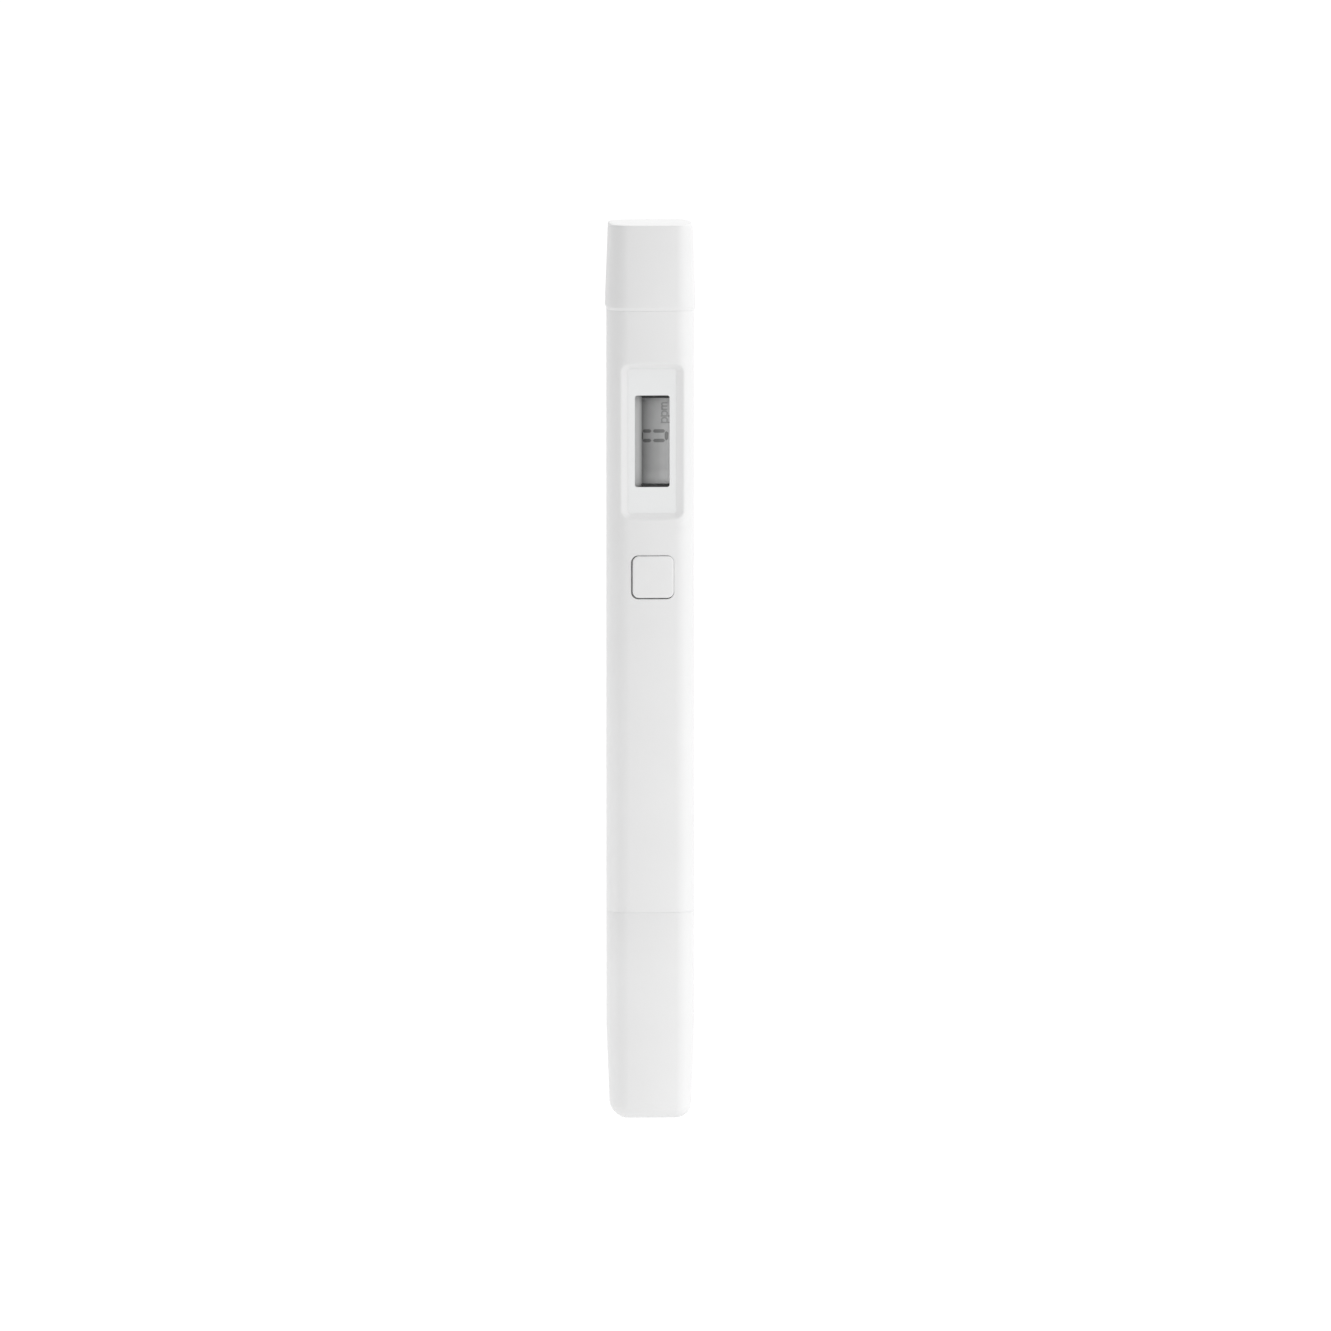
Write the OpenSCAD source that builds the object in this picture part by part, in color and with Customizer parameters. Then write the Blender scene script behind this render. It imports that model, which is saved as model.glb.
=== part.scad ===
// Pen-type digital water tester: a slim square barrel with a display and one key near the top,
// a battery cover on the upper end and a pull-off cap over the two-pin probe on the lower end.
// Millimetres. +Z runs up the pen, the display and the key face -Y, and +X is to their right.
// The origin is the middle of the flat foot under the probe cap.

/* [Barrel] */
// Width and depth of the square barrel
barrel_w = 14.6; // [14.4:0.1:15.2]
// Radius of the barrel's four long corners
barrel_r = 3; // [2.8:0.1:3.3]
// Overall height from the cap's foot to the cover's top
pen_h = 150; // [148:1:160]

/* [Probe cap] */
// Height of the pull-off probe cap
cap_h = 34.8; // [34:0.1:36]
// Width of the cap near its foot, where it is narrowest
cap_foot_w = 13.6; // [13.4:0.1:14]

/* [Battery cover] */
// Height of the battery cover
cover_h = 14.35; // [14:0.05:15.6]
// Width of the cover's rim, a little proud of the barrel
cover_rim_w = 15.1; // [14.8:0.1:15.3]
// Width of the cover's top end
cover_top_w = 14.1; // [13.9:0.1:14.5]

/* [Display] */
// Width of the recess floor that carries the display lens
recess_w = 8.1; // [8:0.05:9]
// Height of the recess floor
recess_h = 24.2; // [23.2:0.05:24.4]
// Depth of the recess floor below the front of the barrel
recess_depth = 0.8; // [0.7:0.02:0.9]
// Width of the clear window in the lens
window_w = 5.8; // [5.4:0.1:6.2]
// Height of the clear window in the lens
window_h = 15.35; // [14.8:0.05:15.6]
// Distance from the barrel's top edge down to the middle of the display
display_drop = 21.8; // [21.6:0.05:22.4]

/* [Key] */
// Width of the key
key_w = 6.85; // [6.4:0.05:7]
// Height of the key
key_h = 7; // [6.6:0.05:7.1]
// Distance from the middle of the display down to the middle of the key
key_drop = 22.75; // [22.6:0.05:23.4]
// How far the key stands proud of the barrel at rest
key_proud = 0.22; // [0:0.02:0.24]

/* [Probe] */
// Diameter of each titanium electrode
pin_d = 1.6; // [1.2:0.1:1.8]
// Distance between the two electrodes
pin_pitch = 4.4; // [4:0.1:4.6]

/* [Hidden] */
$fn = 64;
eps = 0.02;           // gap between pieces that touch on the real object
cut = 1;              // how far a cutting solid runs past what it cuts
seam = 0.03;          // gap at the two outside seams

wall = 1.2;
half = barrel_w / 2;
core = half - barrel_r;         // corner centres of the barrel, the cap and the cover
soft_edge = 0.06;               // the barrel meets the cap and the cover with almost sharp edges
inner_w = barrel_w - 2 * wall;
inner_r = barrel_r - wall;
fit_w = inner_w - 0.2;          // what slides into the barrel
fit_r = inner_r - 0.1;

barrel_z0 = cap_h + seam / 2;
barrel_z1 = pen_h - cover_h - seam / 2;
display_z = barrel_z1 - display_drop;
key_z = display_z - key_drop;

// Depths, all as distances in -Y from the pen's axis
recess_front = half - recess_depth;
recess_r = 0.5;
recess_slope = 0.6;
lens_w = recess_w - 0.1;
lens_h = recess_h - 0.1;
lens_r = 0.45;
lens_front = recess_front - eps;
lens_t = 0.15;
mask_t = 0.05;
pocket_back = lens_front - lens_t - mask_t - 2 * eps;
pad_back = half - wall - 0.8;   // inner face of the thicker wall behind the display
ledge_w = 7.3;                  // opening in that wall
ledge_h = 18.4;
ledge_r = 0.8;
ledge_x = 0.15;
lcd_front = pad_back - 0.5;
polarizer_t = 0.2;
glass_t = 0.5;
board_front = 1.9;
board_t = 0.8;
board_w = 10.8;
board_z0 = cap_h + 22.6;
board_z1 = barrel_z1 - 3.6;
lcd_w = 9.2;
lcd_h = 20.5;
lcd_back = lcd_front - 2 * polarizer_t - 2 * glass_t - 3 * eps;

key_front = half + key_proud;
key_gap = 0.15;
key_r = 1.05;
flange_front = half - wall - 0.05;
flange_t = 0.5;
switch_top = 3.4;
plunger_top = 3.75;
plunger_d = 1.9;
boot_front = 4.95;
boot_t = 0.5;

cell_d = 11.6;
cell_h = 5.4;
neck_top = barrel_z1 + 1.5;
cells_z = neck_top + 0.15;
cells_top = cells_z + 2 * cell_h + eps;
lid_t = 0.45;                   // plate over the upper cell
cage_top = cells_top + lid_t + 0.15;
cover_cavity_w = 12.4;
cover_cavity_r = 2;
cover_z0 = barrel_z1 + seam;

nose_w = 10.2;
nose_r = 2.2;
nose_z0 = 5.5;
nose_z1 = cap_h - 6.9;
water_z = nose_z0 + 10;         // roof of the wet chamber
dry_z = water_z + 4.5;          // floor of the sealed wire space above it
plug_z1 = barrel_z0 + 15.5;

seal_d = 0.9;
seal_z = barrel_z1 + 0.75;
screw_zs = [board_z0 + 5, board_z0 + 26];

white = [0.93, 0.93, 0.92];
ivory = [0.85, 0.85, 0.83];
black = [0.06, 0.06, 0.06];
lcd_grey = [0.36, 0.37, 0.36];
silver = [0.76, 0.76, 0.74];
titanium = [0.62, 0.61, 0.6];
green = [0.05, 0.3, 0.16];
clear = [0.8, 0.85, 0.88, 0.35];
rubber = [0.12, 0.12, 0.13];

// ---------- shared shapes ----------

// Rectangle with true round corners, centred on the origin
module rounded_rect(w, h, r) {
    square([w - 2 * r, h], center = true);
    square([w, h - 2 * r], center = true);
    for (x = [-1, 1], y = [-1, 1])
        translate([x * (w / 2 - r), y * (h / 2 - r)]) circle(r);
}

// Solid whose sides follow one profile all the way round a rectangle with round corners.
// The corner centres are at +-cx, +-cy; the profile is drawn as distance from them against z.
module swept(cx, cy, z0, z1) {
    translate([-cx, -cy, z0]) cube([2 * cx, 2 * cy, z1 - z0]);
    for (i = [0 : 3]) rotate(90 * i) {
        a = i % 2 == 0 ? cx : cy;
        b = i % 2 == 0 ? cy : cx;
        translate([a, b, 0]) rotate_extrude(angle = 90) children();
        translate([a, b, 0]) rotate([90, 0, 0]) linear_extrude(2 * b) children();
    }
}

// Square bar with round corners that stands along the pen, from z0 to z1
module bar(w, r, z0, z1) {
    translate([0, 0, z0]) linear_extrude(z1 - z0) rounded_rect(w, w, r);
}

// Plate that faces the front: its faces are at the distances front and back before the axis
module plate(w, h, r, front, back, z, x = 0) {
    translate([x, -back, z]) rotate([90, 0, 0])
        linear_extrude(front - back) rounded_rect(w, h, r);
}

// Round pin or hole that runs front to back
module round_y(d, front, back, z, x = 0) {
    translate([x, -back, z]) rotate([90, 0, 0]) cylinder(d = d, h = front - back);
}

// Box between two opposite corners
module block(a, b) {
    translate(a) cube(b - a);
}

// Seal ring of round section that follows a rounded square path
module square_ring(w, r, d, z) {
    side = w - 2 * r;
    for (i = [0 : 3]) rotate(90 * i) {
        translate([w / 2, side / 2, z]) rotate([90, 0, 0]) cylinder(d = d, h = side);
        translate([side / 2, side / 2, z]) rotate_extrude(angle = 90)
            translate([r, 0]) circle(d = d);
    }
}

// Tube that follows a list of points; ref is any direction that the path never runs along
function unit(v) = v / norm(v);
function tangent(path, i) = unit(path[min(i + 1, len(path) - 1)] - path[max(i - 1, 0)]);
function tube_section(path, i, r, ref, sides) =
    let (t = tangent(path, i), n = unit(cross(t, ref)), b = cross(n, t))
    [for (k = [0 : sides - 1]) path[i] + r * (cos(360 * k / sides) * n + sin(360 * k / sides) * b)];
function curve(a, b, c, d, n) =
    [for (i = [0 : n]) let (u = i / n, v = 1 - u)
        v * v * v * a + 3 * u * v * v * b + 3 * u * u * v * c + u * u * u * d];

module tube(path, d, ref = [0, 1, 0], sides = 10) {
    last = len(path) - 1;
    points = [for (i = [0 : last]) each tube_section(path, i, d / 2, ref, sides)];
    walls = [for (i = [0 : last - 1], k = [0 : sides - 1]) let (m = (k + 1) % sides)
        [i * sides + k, (i + 1) * sides + k, (i + 1) * sides + m, i * sides + m]];
    first_end = [for (k = [0 : sides - 1]) k];
    last_end = [for (k = [sides - 1 : -1 : 0]) last * sides + k];
    polyhedron(points, concat([first_end], walls, [last_end]), convexity = 6);
}

// ---------- outside shells ----------

// Side of the barrel as seen at a corner, with both ends just broken
module barrel_profile() {
    r = barrel_r;
    polygon([
        [0, barrel_z0], [r - soft_edge, barrel_z0], [r, barrel_z0 + soft_edge],
        [r, barrel_z1 - soft_edge], [r - soft_edge, barrel_z1], [0, barrel_z1]
    ]);
}

// Shallow well with sloping sides round the display
module display_recess() {
    top = half + cut - recess_front;
    translate([0, -recess_front, display_z]) rotate([90, 0, 0])
        swept(recess_w / 2 - recess_r, recess_h / 2 - recess_r, 0, top)
            polygon([[0, 0], [recess_r, 0], [recess_r + top / recess_slope, top], [0, top]]);
}

// One-piece barrel, open at both ends, with a thicker wall behind the display
module housing() {
    color(white) difference() {
        swept(core, core, barrel_z0, barrel_z1) barrel_profile();
        difference() {
            bar(inner_w, inner_r, barrel_z0 - cut, barrel_z1 + cut);
            block([-half, -half, display_z - 14], [half, -pad_back, display_z + 14]);
        }
        display_recess();
        plate(lens_w + 2 * eps, lens_h + 2 * eps, lens_r, half, pocket_back, display_z);
        plate(ledge_w, ledge_h, ledge_r, half, pad_back - cut, display_z, ledge_x);
        plate(key_w + 2 * key_gap, key_h + 2 * key_gap, key_r + key_gap,
              half + cut, half - wall - cut, key_z);
    }
}

// Side of the cover: a lip that widens from the barrel's edge to a proud rim, a slight taper
// and a rounded top edge
module cover_profile() {
    rim = cover_rim_w / 2 - core;
    top = cover_top_w / 2 - core;
    edge = 0.4;
    lip = 0.4;
    polygon([
        [0, cover_z0], [barrel_r, cover_z0], [rim, cover_z0 + lip],
        [top, pen_h - edge], [0, pen_h - edge]
    ]);
    translate([0, pen_h - edge]) square([top - edge, edge]);
    translate([top - edge, pen_h - edge]) intersection() {
        circle(edge);
        square(edge);
    }
}

// Flared cover that slides over the battery cage
module battery_cover() {
    color(white) difference() {
        swept(core, core, cover_z0, pen_h) cover_profile();
        bar(cover_cavity_w, cover_cavity_r, cover_z0 - cut, cage_top + 0.1);
    }
}

// Side of the cap: straight at the top, tapering below and rounded under at the foot
module cap_profile() {
    foot = cap_foot_w / 2 - core;
    straight_z = 15;
    top = cap_h - seam / 2;
    intersection() {
        translate([0, foot]) circle(foot, $fn = 96);
        square(foot);
    }
    polygon([
        [0, foot], [foot, foot], [barrel_r, straight_z],
        [barrel_r, top - soft_edge], [barrel_r - soft_edge, top], [0, top]
    ]);
}

// Deep cap with a rounded foot that slides over the probe
module probe_cap() {
    step_z = 14;
    color(white) difference() {
        swept(core, core, 0, cap_h - seam / 2) cap_profile();
        bar(12.2, 1.9, step_z, cap_h + cut);
        bar(11, 1.8, 2.2, step_z + cut);
    }
}

// ---------- display ----------

module display_lens() {
    color(clear) plate(lens_w, lens_h, lens_r, lens_front, lens_front - lens_t, display_z);
}

// White print layer behind the lens, left open over the display
module lens_mask() {
    front = lens_front - lens_t - eps;
    color(white) difference() {
        plate(lens_w, lens_h, lens_r, front, front - mask_t, display_z);
        plate(window_w, window_h, 0.4, front + cut, front - mask_t - cut, display_z);
    }
}

// Black foam between the lens and the display; its two ends show in the window
module display_gasket() {
    opening = window_h - 0.9;
    back = lcd_front + eps;
    front = pocket_back - eps;
    left = -1.65;
    color(black) difference() {
        plate(ledge_w - 0.1, ledge_h - 0.1, ledge_r, front, back, display_z, ledge_x);
        block([-half, -half, display_z - ledge_h], [left, 0, display_z + ledge_h]);
        block([-half, -half, display_z - opening / 2], [3.25, 0, display_z + opening / 2]);
    }
}

// Frame that presses the display on the circuit board, with a lip along one side of the window
module lcd_holder() {
    w = 11.4;
    h = 23.3;
    front = pad_back - eps;
    color(ivory) difference() {
        plate(w, h, 0.6, front, board_front + eps, display_z);
        plate(lcd_w + 0.1, lcd_h + 0.1, 0.3, lcd_front + 0.02, board_front - cut, display_z);
        block([-1.7, -half, display_z - 9.9], [4.2, -lcd_front + cut, display_z + 9.9]);
    }
}

module lcd_layer(front, t, shrink = 0) {
    plate(lcd_w - shrink, lcd_h - shrink, 0.2, front, front - t, display_z);
}

module lcd_polarizer() {
    color(lcd_grey) lcd_layer(lcd_front, polarizer_t, 0.4);
}

// Two glass plates, the rear one with the contacts on its ends
module lcd_glass() {
    front = lcd_front - polarizer_t - eps;
    color(clear) {
        lcd_layer(front, glass_t);
        lcd_layer(front - glass_t - eps, glass_t);
    }
}

module lcd_reflector() {
    front = lcd_back + polarizer_t;
    color(silver) plate(lcd_w - 0.4, lcd_h - 3.6, 0.2, front, lcd_back, display_z);
}

// Elastomer strips that carry the display's contacts down to the board
module zebra_strips() {
    front = lcd_back + polarizer_t;
    color(rubber) for (s = [-1, 1])
        plate(8.6, 1.4, 0.1, front, board_front + eps, display_z + s * (lcd_h / 2 - 0.95));
}

// ---------- circuit board ----------

module circuit_board() {
    mid = (board_z0 + board_z1) / 2;
    color(green) difference() {
        plate(board_w, board_z1 - board_z0, 0.8, board_front, board_front - board_t, mid);
        for (z = screw_zs) round_y(1.8, board_front + cut, board_front - board_t - cut, z);
    }
}

// Flat package with a row of legs on each of its four sides
module controller_chip() {
    z = (screw_zs[0] + screw_zs[1]) / 2;
    body = 6;
    legs = 8;
    pitch = 0.65;
    color(black) {
        plate(body, body, 0.2, board_front + 1.4, board_front + 0.15, z);
        for (turn = [0 : 3], i = [0 : legs - 1])
            translate([0, 0, z]) rotate([0, 90 * turn, 0])
                translate([(i - (legs - 1) / 2) * pitch, 0, body / 2])
                    block([-0.15, -board_front - 0.75, -0.2], [0.15, -board_front - eps, 0.95]);
    }
}

// Small surface-mounted resistors and capacitors
module smd_parts() {
    top = screw_zs[1];
    spots = concat(
        [for (i = [0 : 3]) [-3.3 + i * 2.2, top - 5.4]],
        [for (i = [0 : 2]) [-4 + i * 1.9, screw_zs[0] + 3.9]],
        [for (s = [-1, 1], i = [0 : 1]) [s * 3.9, top + 1 - i * 2.6]]
    );
    color([0.55, 0.45, 0.33]) for (p = spots)
        plate(0.9, 1.7, 0.05, board_front + 0.65, board_front + eps, p[1], p[0]);
}

// ---------- key and switch ----------

// Key with a flange that keeps it in the barrel and a stem that reaches the switch
module power_button() {
    edge = 0.2;
    r = key_r;
    depth = key_front - flange_front + 0.1;
    color(white) {
        translate([0, -flange_front + 0.1, key_z]) rotate([90, 0, 0])
            swept(key_w / 2 - r, key_h / 2 - r, 0, depth) {
                square([r, depth - edge]);
                square([r - edge, depth]);
                translate([r - edge, depth - edge]) circle(edge);
            }
        plate(8.4, 8.6, 1, flange_front, flange_front - flange_t, key_z);
        round_y(2.4, flange_front - 0.2, plunger_top + eps, key_z);
    }
}

// Silicone cup that covers the switch, with a raised ring round the stem
module button_boot() {
    color(rubber) difference() {
        union() {
            plate(10.4, 10.6, 1.2, boot_front, board_front + eps, key_z);
            round_y(5.4, boot_front + 0.1, boot_front - 0.2, key_z);
        }
        plate(8.8, 9, 0.8, boot_front - boot_t, board_front - cut, key_z);
        round_y(2.5, boot_front + cut, boot_front - cut, key_z);
    }
}

module tact_switch() {
    body = 4.5;
    color(silver) difference() {
        union() {
            plate(body, body, 0.3, switch_top, board_front + eps, key_z);
            for (x = [-1, 1], z = [-1, 1])
                plate(1, 0.7, 0.05, board_front + 0.3, board_front + eps,
                      key_z + z * 1.6, x * (body / 2 + 0.3));
        }
        round_y(plunger_d + 0.1, switch_top + cut, switch_top - 1, key_z);
    }
}

module switch_plunger() {
    color(black) round_y(plunger_d, plunger_top, switch_top - 0.6, key_z);
}

// ---------- inner frame ----------

// Channel behind the circuit board, with two screw bosses and cross ribs
module inner_frame() {
    z0 = board_z0 - 2;
    z1 = barrel_z1 - 5.6;
    front = board_front - board_t - eps;
    floor_y = 4.6;
    color(ivory) difference() {
        union() {
            difference() {
                bar(fit_w, fit_r, z0, z1);
                block([-half, -half, z0 - cut], [half, -front, z1 + cut]);
                block([-4.7, -half, z0 - cut], [4.7, floor_y, z1 + cut]);
            }
            for (z = screw_zs) round_y(3.8, front, -floor_y - 0.4, z);
            for (z = [z0 + 13, z0 + 40, z0 + 58])
                block([-4.9, 1, z], [4.9, floor_y + 0.4, z + 1]);
        }
        for (z = screw_zs) round_y(1.44, front + cut, -3.4, z);
        for (z = [z0 + 15, z0 + 42])
            block([-3, floor_y - cut, z], [3, half, z + 14]);
    }
}

// Pan-head screws with a cross slot
module frame_screws() {
    head_front = board_front + eps;
    color(silver) for (z = screw_zs) difference() {
        union() {
            round_y(2.8, head_front + 0.8, head_front, z);
            round_y(1.4, head_front + 0.1, -2.9, z);
        }
        for (a = [0, 90]) translate([0, -head_front - 0.8, z]) rotate([0, a, 0])
            block([-0.9, -cut, -0.16], [0.9, 0.45, 0.16]);
    }
}

// ---------- battery space ----------

// Plug, neck and open cage that holds the two cells under the cover
module battery_cage() {
    groove_w = cover_cavity_w - 2 * seal_d - 4 * eps;
    strip_r = cell_d / 2 + 0.4;
    z0 = barrel_z1 - 3;
    color(ivory) difference() {
        union() {
            bar(fit_w, fit_r, z0, seal_z - seal_d / 2);
            bar(groove_w, 1, z0, neck_top);
            bar(fit_w, fit_r, seal_z + seal_d / 2, neck_top);
            difference() {
                bar(fit_w, fit_r, neck_top - 0.1, cage_top - lid_t / 2);
                block([-half, -half, neck_top - cut], [half, 1.2, cage_top]);
            }
            bar(fit_w, fit_r, cage_top - lid_t, cage_top);
        }
        translate([0, 0, neck_top]) cylinder(d = cell_d + 0.3, h = cage_top - lid_t - neck_top);
        translate([0, 0, neck_top - 2.4]) cylinder(d = 9, h = 3);
        translate([0, 0, cage_top - cut]) cylinder(d = 3, h = 2 * cut);
        translate([0, 3, z0 - cut]) cylinder(d = 1.2, h = 3);
        rotate(135)
            block([strip_r - 0.3, -0.9, z0 - cut], [strip_r + 0.05, 0.9, cage_top - lid_t]);
    }
}

// Two alkaline cells: a wide can, a narrower cap below it
module button_cells() {
    color(silver) for (i = [0 : 1]) translate([0, 0, cells_z + i * (cell_h + eps)]) {
        translate([0, 0, 0.4]) cylinder(d = cell_d, h = cell_h - 0.4);
        cylinder(d = 10, h = 0.5);
    }
}

// Cone of spring wire that presses on the lower cell
module battery_spring() {
    wire = 0.4;
    turns = 3;
    steps = 24 * turns;
    z0 = neck_top - 2.4 + wire / 2 + eps;
    z1 = cells_z - wire / 2 - eps;
    path = [for (i = [0 : steps]) let (u = i / steps, a = 360 * turns * u, r = 3.9 - 2 * u)
        [r * cos(a), r * sin(a), z0 + (z1 - z0) * u]];
    color(silver) tube(path, wire, [0, 0, 1], 8);
}

// Flat contact over the upper cell, with a strip down a corner of the cage
module positive_contact() {
    t = 0.12;
    z = cells_top + eps;
    r = cell_d / 2 + 0.25;
    color(silver) {
        translate([0, 0, z]) cylinder(d = 5, h = t);
        rotate(135) {
            block([0, -0.75, z], [r + t, 0.75, z + t]);
            block([r, -0.75, barrel_z1 - 4.2], [r + t, 0.75, z + t]);
        }
    }
}

module battery_seal() {
    color(rubber) square_ring(cover_cavity_w - seal_d - 2 * eps, 1.5, seal_d, seal_z);
}

// Leads from the two battery contacts down to the board
module battery_wires() {
    start_z = barrel_z1 - 4.6;
    pad_y = -board_front + board_t + 0.45;
    strip = (cell_d / 2 + 0.3) * [-cos(45), sin(45)];
    color([0.6, 0.05, 0.05]) tube(curve(
        [strip[0], strip[1], start_z], [-4.2, 3.6, start_z - 3],
        [-3.2, 0.6, start_z - 2], [-3, pad_y, start_z - 7], 16), 0.7);
    color(black) tube(curve(
        [0, 3, barrel_z1 - 1.9], [0, 3, start_z - 4],
        [2.6, 1, start_z - 1], [3, pad_y, start_z - 7], 16), 0.7);
}

// ---------- probe ----------

// Plug, neck and nose in one piece; the nose is open round the pins so that water can reach them
module probe_holder() {
    groove_z = barrel_z0 + 4;
    groove_w = inner_w - 2 * 1 - 4 * eps;
    neck_w = 11.9;
    rib = 0.1;
    color(white) difference() {
        union() {
            bar(fit_w, fit_r, barrel_z0 - 0.2, groove_z - 0.55);
            bar(groove_w, 0.9, barrel_z0, plug_z1);
            bar(fit_w, fit_r, groove_z + 0.55, plug_z1);
            bar(neck_w, 1.8, nose_z1, barrel_z0 - 0.1);
            bar(nose_w, nose_r, nose_z0, nose_z1 + 0.1);
            for (turn = [0 : 3]) rotate(90 * turn)
                block([-2, -neck_w / 2 - rib, nose_z1 + 2], [2, 0, nose_z1 + 2.8]);
        }
        translate([0, 0, nose_z0 - cut]) cylinder(d = 7.8, h = water_z - nose_z0 + cut);
        block([-2.2, -half, nose_z0 - cut], [2.2, half, water_z - 2]);
        translate([0, 0, dry_z]) cylinder(d = 8, h = plug_z1 - dry_z + cut);
        for (x = [-1, 1]) translate([x * pin_pitch / 2, 0, water_z - cut])
            cylinder(d = pin_d + 2 * eps, h = dry_z - water_z + 2 * cut);
        translate([0, 0, dry_z - 3.4]) cylinder(d = 2.1, h = 4);
    }
}

// Two titanium pins with domed ends
module electrode_pins() {
    z0 = nose_z0 + 0.9;
    color(titanium) for (x = [-1, 1]) translate([x * pin_pitch / 2, 0, 0]) {
        translate([0, 0, z0 + pin_d / 2]) cylinder(d = pin_d, h = dry_z + 3 - z0 - pin_d / 2);
        translate([0, 0, z0 + pin_d / 2]) sphere(d = pin_d);
    }
}

// Temperature sensor bead, potted just above the wet chamber
module thermistor() {
    z = dry_z - 2.4;
    color([0.1, 0.12, 0.2]) {
        translate([0, 0, z]) sphere(d = 2);
        translate([0, 0, z]) cylinder(d = 2, h = 2);
    }
}

module probe_seal() {
    color(rubber) square_ring(inner_w - 1 - 2 * eps, 1.3, 1, barrel_z0 + 4);
}

// Two leads from the pins and two from the sensor, up to pads on the back of the board
module probe_wires() {
    pad_y = -board_front + board_t + 0.45;
    pad_z = board_z0 + 3;
    for (i = [0 : 3]) {
        x = [-pin_pitch / 2, -0.5, 0.5, pin_pitch / 2][i];
        pin = i == 0 || i == 3;
        z = pin ? dry_z + 3 + 2 * eps : dry_z - 0.4 + 2 * eps;
        d = pin ? 0.7 : 0.5;
        color(pin ? ivory : rubber) tube(curve(
            [x, 0, z], [x, 0, z + 12],
            [x * 1.6, 3.2, pad_z - 14], [x * 1.5, pad_y, pad_z], 24), d);
    }
}

housing();
battery_cover();
probe_cap();
display_lens();
lens_mask();
display_gasket();
lcd_holder();
lcd_polarizer();
lcd_glass();
lcd_reflector();
zebra_strips();
circuit_board();
controller_chip();
smd_parts();
tact_switch();
switch_plunger();
power_button();
button_boot();
inner_frame();
frame_screws();
battery_cage();
button_cells();
battery_spring();
positive_contact();
battery_seal();
battery_wires();
probe_holder();
electrode_pins();
thermistor();
probe_seal();
probe_wires();
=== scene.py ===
"""Looks for the pen-type digital water tester: shells, display, key, battery space and probe."""

import math

import bpy
import bmesh
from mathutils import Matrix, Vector


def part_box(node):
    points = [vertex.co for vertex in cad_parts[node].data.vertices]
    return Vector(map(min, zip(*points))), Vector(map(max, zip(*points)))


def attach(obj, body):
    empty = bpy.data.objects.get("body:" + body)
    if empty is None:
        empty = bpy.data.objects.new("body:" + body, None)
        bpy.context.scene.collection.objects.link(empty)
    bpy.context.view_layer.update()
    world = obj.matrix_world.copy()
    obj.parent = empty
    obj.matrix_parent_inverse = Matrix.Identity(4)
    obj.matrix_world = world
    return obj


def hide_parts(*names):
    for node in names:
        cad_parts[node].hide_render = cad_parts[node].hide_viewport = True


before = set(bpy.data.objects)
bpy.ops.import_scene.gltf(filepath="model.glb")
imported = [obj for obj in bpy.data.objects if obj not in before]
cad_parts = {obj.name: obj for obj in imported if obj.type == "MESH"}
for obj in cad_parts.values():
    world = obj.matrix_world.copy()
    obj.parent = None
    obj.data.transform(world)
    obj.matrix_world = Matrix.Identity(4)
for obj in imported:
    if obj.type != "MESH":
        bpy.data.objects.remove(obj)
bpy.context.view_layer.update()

MM = 0.001
TAU = 2 * math.pi


# ---------------------------------------------------------------- sizes, in millimetres, from the frame

def box_mm(node):
    low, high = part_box(node)
    return [c / MM for c in low], [c / MM for c in high]


H_LOW, H_HIGH = box_mm("housing")
HALF = H_HIGH[0]                       # half the barrel's width
CORNER = 3.0                           # radius of the barrel's long corners
CORE = HALF - CORNER                   # corner centres, shared by barrel, cap and cover
WALL = 1.2                             # thickness of the barrel's wall
CLEARANCE = 0.02                       # gap between pieces that touch on the real object
BARREL_Z0, BARREL_Z1 = H_LOW[2], H_HIGH[2]
COVER_Z0, PEN_H = box_mm("battery_cover")[0][2], box_mm("battery_cover")[1][2]
CAP_TOP = box_mm("probe_cap")[1][2]

L_LOW, L_HIGH = box_mm("display_lens")
LENS_HALF = (L_HIGH[0], (L_HIGH[2] - L_LOW[2]) / 2)
LENS_FRONT, LENS_BACK = -L_LOW[1], -L_HIGH[1]
DISPLAY_Z = (L_HIGH[2] + L_LOW[2]) / 2
FLOOR_DEPTH = HALF - LENS_FRONT - 0.004    # the recess floor, all but level with the lens
SIDE_SLOPE, END_SLOPE = 0.25, 1.0      # how steeply the recess rises at its sides and ends
SLOPE_FOOT = 0.3                       # over how far the slope grows from the level floor
FLOOR_R = 0.5                          # radius of the recess floor's corners
FLOOR_CX = LENS_HALF[0] + 0.05 - FLOOR_R       # their centres
FLOOR_CZ = LENS_HALF[1] + 0.05 - FLOOR_R
PAD_BACK = HALF - WALL - 0.8           # back of the thicker wall behind the display
PAD_REACH = 1.7                        # how far outside the recess floor that wall reaches
LEDGE_HALF, LEDGE_R, LEDGE_X = (3.65, 9.2), 0.8, 0.15      # opening in that wall

K_LOW, K_HIGH = box_mm("power_button")
KEY_Z = (K_LOW[2] + K_HIGH[2]) / 2
KEY_FRONT, KEY_BACK = -K_LOW[1], -K_HIGH[1]
KEY_HALF = (3.425, 3.5)
KEY_R = 1.05
KEY_GAP = 0.15                         # groove round the key
KEY_CX, KEY_CZ = KEY_HALF[0] - KEY_R, KEY_HALF[1] - KEY_R
SEAM_FILL = 0.02                       # the finished shells close up the gaps at the two outside seams
KEY_PLAY = (0.12, 0.07)                # the key sits a little up and to the right in its opening

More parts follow.
